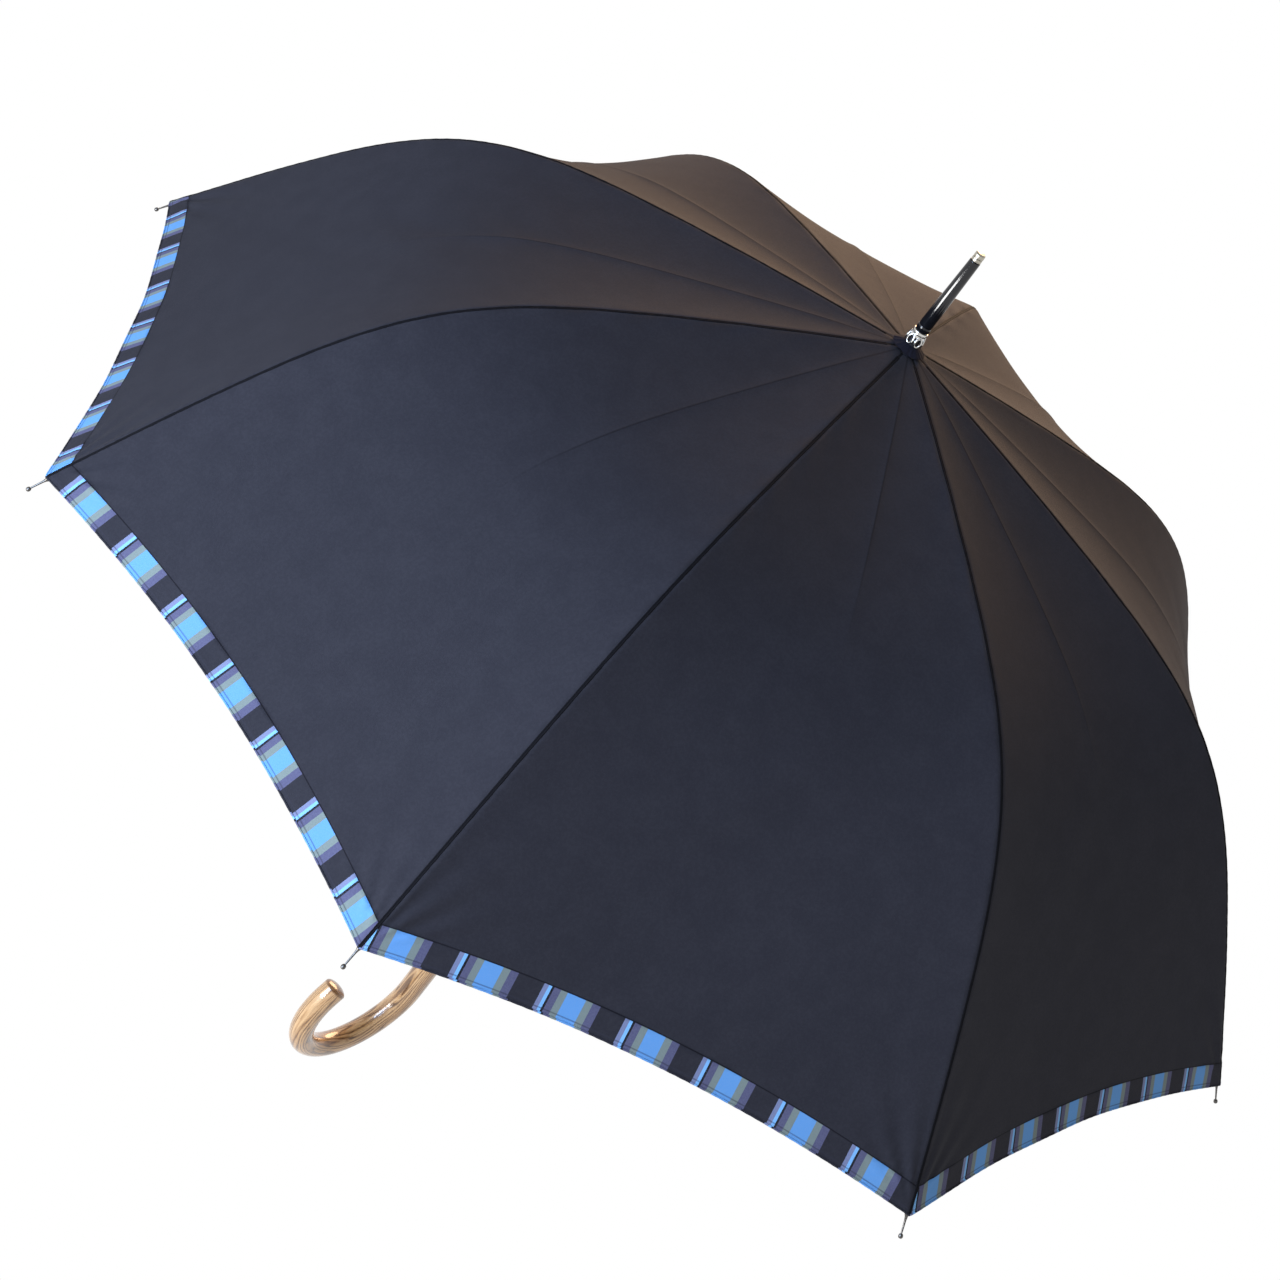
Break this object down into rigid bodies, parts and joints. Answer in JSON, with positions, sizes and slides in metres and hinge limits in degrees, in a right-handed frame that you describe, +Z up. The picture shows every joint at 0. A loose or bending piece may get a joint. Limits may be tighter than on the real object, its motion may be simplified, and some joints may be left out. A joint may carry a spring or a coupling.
{
  "type": "stick umbrella",
  "caption": "Open stick umbrella with a wooden crook handle, curved ribs and stretchers, dark canopy with a striped rim band and a long ferrule",
  "frame": {"origin": "on the shaft axis, level with the lowest point of the crook handle, with the umbrella open", "axes": "+Z runs up the shaft to the ferrule tip; +X is the side the crook bends towards; the ribs stand at 22.5 degrees and every 45 degrees from there"},
  "size_m": [1.0318, 1.0318, 0.9425],
  "materials": {
    "black_fabric": "matte woven polyester, with a sewn striped band along the rim",
    "varnished_wood": "clear gloss varnish over streaked golden wood",
    "black_steel": "black lacquered steel tube",
    "steel": "plated spring steel",
    "chrome": "polished plate",
    "glass_fibre": "black glass fibre rod",
    "black_plastic": "moulded black nylon",
    "black_ferrule": "glossy black"
  },
  "bodies": {
    "shaft_assembly": {"shaft": "black_steel", "handle": "varnished_wood", "handle_collar": "chrome", "ferrule": "black_ferrule", "ferrule_cap": "chrome", "crown_cap": "chrome", "rosette": "black_fabric", "top_notch": "black_plastic", "notch_wire": "steel", "shaft_pin": "steel"},
    "runner_body": {"runner": "black_plastic", "runner_wire": "steel"},
    "top_catch_body": {"top_catch": "steel"},
    "bottom_catch_body": {"bottom_catch": "steel"},
    "rib_inner_body_1": {"rib_inner_1": "steel", "canopy_gore_1": "black_fabric"},
    "rib_outer_body_1": {"rib_outer_1": "glass_fibre", "rib_tip_1": "chrome"},
    "stretcher_body_1": {"stretcher_1": "steel"},
    "rib_inner_body_2": {"rib_inner_2": "steel", "canopy_gore_2": "black_fabric"},
    "rib_outer_body_2": {"rib_outer_2": "glass_fibre", "rib_tip_2": "chrome"},
    "stretcher_body_2": {"stretcher_2": "steel"},
    "rib_inner_body_3": {"rib_inner_3": "steel", "canopy_gore_3": "black_fabric"},
    "rib_outer_body_3": {"rib_outer_3": "glass_fibre", "rib_tip_3": "chrome"},
    "stretcher_body_3": {"stretcher_3": "steel"},
    "rib_inner_body_4": {"rib_inner_4": "steel", "canopy_gore_4": "black_fabric"},
    "rib_outer_body_4": {"rib_outer_4": "glass_fibre", "rib_tip_4": "chrome"},
    "stretcher_body_4": {"stretcher_4": "steel"},
    "rib_inner_body_5": {"rib_inner_5": "steel", "canopy_gore_5": "black_fabric"},
    "rib_outer_body_5": {"rib_outer_5": "glass_fibre", "rib_tip_5": "chrome", "tie_strap": "black_fabric", "strap_snap": "chrome"},
    "stretcher_body_5": {"stretcher_5": "steel"},
    "rib_inner_body_6": {"rib_inner_6": "steel", "canopy_gore_6": "black_fabric"},
    "rib_outer_body_6": {"rib_outer_6": "glass_fibre", "rib_tip_6": "chrome"},
    "stretcher_body_6": {"stretcher_6": "steel"},
    "rib_inner_body_7": {"rib_inner_7": "steel", "canopy_gore_7": "black_fabric"},
    "rib_outer_body_7": {"rib_outer_7": "glass_fibre", "rib_tip_7": "chrome"},
    "stretcher_body_7": {"stretcher_7": "steel"},
    "rib_inner_body_8": {"rib_inner_8": "steel", "canopy_gore_8": "black_fabric"},
    "rib_outer_body_8": {"rib_outer_8": "glass_fibre", "rib_tip_8": "chrome"},
    "stretcher_body_8": {"stretcher_8": "steel"}
  },
  "joints": [
    {"name": "runner_slide", "type": "slide", "parent": "shaft_assembly", "child": "runner_body", "axis": [0, 0, 1], "range_m": [-0.38147, 0], "deforming": ["top_catch", "bottom_catch"]},
    {"name": "top_catch_press", "type": "slide", "parent": "shaft_assembly", "child": "top_catch_body", "axis": [-1, 0, 0], "range_m": [0, 0.0033], "stiffness_N_per_m": 400, "springref_m": -0.001},
    {"name": "bottom_catch_press", "type": "slide", "parent": "shaft_assembly", "child": "bottom_catch_body", "axis": [-1, 0, 0], "range_m": [0, 0.0033], "stiffness_N_per_m": 400, "springref_m": -0.001},
    {"name": "rib_hinge_1", "type": "hinge", "parent": "shaft_assembly", "child": "rib_inner_body_1", "pos_m": [0.00831, 0.00344, 0.846], "axis": [-0.3827, 0.9239, 0], "range_deg": [0, 76.06], "deforming": ["canopy_gore_1"]},
    {"name": "rib_flex_1", "type": "hinge", "parent": "rib_inner_body_1", "child": "rib_outer_body_1", "pos_m": [0.27376, 0.11339, 0.78183], "axis": [-0.3827, 0.9239, 0], "range_deg": [-30.51, 0]},
    {"name": "stretcher_hinge_1", "type": "hinge", "parent": "rib_inner_body_1", "child": "stretcher_body_1", "pos_m": [0.25517, 0.1057, 0.78331], "axis": [-0.3827, 0.9239, 0], "range_deg": [-141.01, 0]},
    {"name": "rib_hinge_2", "type": "hinge", "parent": "shaft_assembly", "child": "rib_inner_body_2", "pos_m": [0.00344, 0.00831, 0.846], "axis": [-0.9239, 0.3827, 0], "range_deg": [0, 76.06], "deforming": ["canopy_gore_2"]},
    {"name": "rib_flex_2", "type": "hinge", "parent": "rib_inner_body_2", "child": "rib_outer_body_2", "pos_m": [0.11339, 0.27376, 0.78183], "axis": [-0.9239, 0.3827, 0], "range_deg": [-30.51, 0]},
    {"name": "stretcher_hinge_2", "type": "hinge", "parent": "rib_inner_body_2", "child": "stretcher_body_2", "pos_m": [0.1057, 0.25517, 0.78331], "axis": [-0.9239, 0.3827, 0], "range_deg": [-141.01, 0]},
    {"name": "rib_hinge_3", "type": "hinge", "parent": "shaft_assembly", "child": "rib_inner_body_3", "pos_m": [-0.00344, 0.00831, 0.846], "axis": [-0.9239, -0.3827, 0], "range_deg": [0, 76.06], "deforming": ["canopy_gore_3"]},
    {"name": "rib_flex_3", "type": "hinge", "parent": "rib_inner_body_3", "child": "rib_outer_body_3", "pos_m": [-0.11339, 0.27376, 0.78183], "axis": [-0.9239, -0.3827, 0], "range_deg": [-30.51, 0]},
    {"name": "stretcher_hinge_3", "type": "hinge", "parent": "rib_inner_body_3", "child": "stretcher_body_3", "pos_m": [-0.1057, 0.25517, 0.78331], "axis": [-0.9239, -0.3827, 0], "range_deg": [-141.01, 0]},
    {"name": "rib_hinge_4", "type": "hinge", "parent": "shaft_assembly", "child": "rib_inner_body_4", "pos_m": [-0.00831, 0.00344, 0.846], "axis": [-0.3827, -0.9239, 0], "range_deg": [0, 76.06], "deforming": ["canopy_gore_4"]},
    {"name": "rib_flex_4", "type": "hinge", "parent": "rib_inner_body_4", "child": "rib_outer_body_4", "pos_m": [-0.27376, 0.11339, 0.78183], "axis": [-0.3827, -0.9239, 0], "range_deg": [-30.51, 0]},
    {"name": "stretcher_hinge_4", "type": "hinge", "parent": "rib_inner_body_4", "child": "stretcher_body_4", "pos_m": [-0.25517, 0.1057, 0.78331], "axis": [-0.3827, -0.9239, 0], "range_deg": [-141.01, 0]},
    {"name": "rib_hinge_5", "type": "hinge", "parent": "shaft_assembly", "child": "rib_inner_body_5", "pos_m": [-0.00831, -0.00344, 0.846], "axis": [0.3827, -0.9239, 0], "range_deg": [0, 76.06], "deforming": ["canopy_gore_5"]},
    {"name": "rib_flex_5", "type": "hinge", "parent": "rib_inner_body_5", "child": "rib_outer_body_5", "pos_m": [-0.27376, -0.11339, 0.78183], "axis": [0.3827, -0.9239, 0], "range_deg": [-30.51, 0], "deforming": ["tie_strap"]},
    {"name": "stretcher_hinge_5", "type": "hinge", "parent": "rib_inner_body_5", "child": "stretcher_body_5", "pos_m": [-0.25517, -0.1057, 0.78331], "axis": [0.3827, -0.9239, 0], "range_deg": [-141.01, 0]},
    {"name": "rib_hinge_6", "type": "hinge", "parent": "shaft_assembly", "child": "rib_inner_body_6", "pos_m": [-0.00344, -0.00831, 0.846], "axis": [0.9239, -0.3827, 0], "range_deg": [0, 76.06], "deforming": ["canopy_gore_6"]},
    {"name": "rib_flex_6", "type": "hinge", "parent": "rib_inner_body_6", "child": "rib_outer_body_6", "pos_m": [-0.11339, -0.27376, 0.78183], "axis": [0.9239, -0.3827, 0], "range_deg": [-30.51, 0]},
    {"name": "stretcher_hinge_6", "type": "hinge", "parent": "rib_inner_body_6", "child": "stretcher_body_6", "pos_m": [-0.1057, -0.25517, 0.78331], "axis": [0.9239, -0.3827, 0], "range_deg": [-141.01, 0]},
    {"name": "rib_hinge_7", "type": "hinge", "parent": "shaft_assembly", "child": "rib_inner_body_7", "pos_m": [0.00344, -0.00831, 0.846], "axis": [0.9239, 0.3827, 0], "range_deg": [0, 76.06], "deforming": ["canopy_gore_7"]},
    {"name": "rib_flex_7", "type": "hinge", "parent": "rib_inner_body_7", "child": "rib_outer_body_7", "pos_m": [0.11339, -0.27376, 0.78183], "axis": [0.9239, 0.3827, 0], "range_deg": [-30.51, 0]},
    {"name": "stretcher_hinge_7", "type": "hinge", "parent": "rib_inner_body_7", "child": "stretcher_body_7", "pos_m": [0.1057, -0.25517, 0.78331], "axis": [0.9239, 0.3827, 0], "range_deg": [-141.01, 0]},
    {"name": "rib_hinge_8", "type": "hinge", "parent": "shaft_assembly", "child": "rib_inner_body_8", "pos_m": [0.00831, -0.00344, 0.846], "axis": [0.3827, 0.9239, 0], "range_deg": [0, 76.06], "deforming": ["canopy_gore_8"]},
    {"name": "rib_flex_8", "type": "hinge", "parent": "rib_inner_body_8", "child": "rib_outer_body_8", "pos_m": [0.27376, -0.11339, 0.78183], "axis": [0.3827, 0.9239, 0], "range_deg": [-30.51, 0]},
    {"name": "stretcher_hinge_8", "type": "hinge", "parent": "rib_inner_body_8", "child": "stretcher_body_8", "pos_m": [0.25517, -0.1057, 0.78331], "axis": [0.3827, 0.9239, 0], "range_deg": [-141.01, 0]}
  ],
  "couplings": [
    {"joint": "rib_hinge_1", "follows": "runner_slide", "rad_per_m": -3.4802},
    {"joint": "rib_flex_1", "follows": "runner_slide", "rad_per_m": 1.3959},
    {"joint": "stretcher_hinge_1", "follows": "runner_slide", "rad_per_m": 6.4517},
    {"joint": "rib_hinge_2", "follows": "runner_slide", "rad_per_m": -3.4802},
    {"joint": "rib_flex_2", "follows": "runner_slide", "rad_per_m": 1.3959},
    {"joint": "stretcher_hinge_2", "follows": "runner_slide", "rad_per_m": 6.4517},
    {"joint": "rib_hinge_3", "follows": "runner_slide", "rad_per_m": -3.4802},
    {"joint": "rib_flex_3", "follows": "runner_slide", "rad_per_m": 1.3959},
    {"joint": "stretcher_hinge_3", "follows": "runner_slide", "rad_per_m": 6.4517},
    {"joint": "rib_hinge_4", "follows": "runner_slide", "rad_per_m": -3.4802},
    {"joint": "rib_flex_4", "follows": "runner_slide", "rad_per_m": 1.3959},
    {"joint": "stretcher_hinge_4", "follows": "runner_slide", "rad_per_m": 6.4517},
    {"joint": "rib_hinge_5", "follows": "runner_slide", "rad_per_m": -3.4802},
    {"joint": "rib_flex_5", "follows": "runner_slide", "rad_per_m": 1.3959},
    {"joint": "stretcher_hinge_5", "follows": "runner_slide", "rad_per_m": 6.4517},
    {"joint": "rib_hinge_6", "follows": "runner_slide", "rad_per_m": -3.4802},
    {"joint": "rib_flex_6", "follows": "runner_slide", "rad_per_m": 1.3959},
    {"joint": "stretcher_hinge_6", "follows": "runner_slide", "rad_per_m": 6.4517},
    {"joint": "rib_hinge_7", "follows": "runner_slide", "rad_per_m": -3.4802},
    {"joint": "rib_flex_7", "follows": "runner_slide", "rad_per_m": 1.3959},
    {"joint": "stretcher_hinge_7", "follows": "runner_slide", "rad_per_m": 6.4517},
    {"joint": "rib_hinge_8", "follows": "runner_slide", "rad_per_m": -3.4802},
    {"joint": "rib_flex_8", "follows": "runner_slide", "rad_per_m": 1.3959},
    {"joint": "stretcher_hinge_8", "follows": "runner_slide", "rad_per_m": 6.4517}
  ]
}
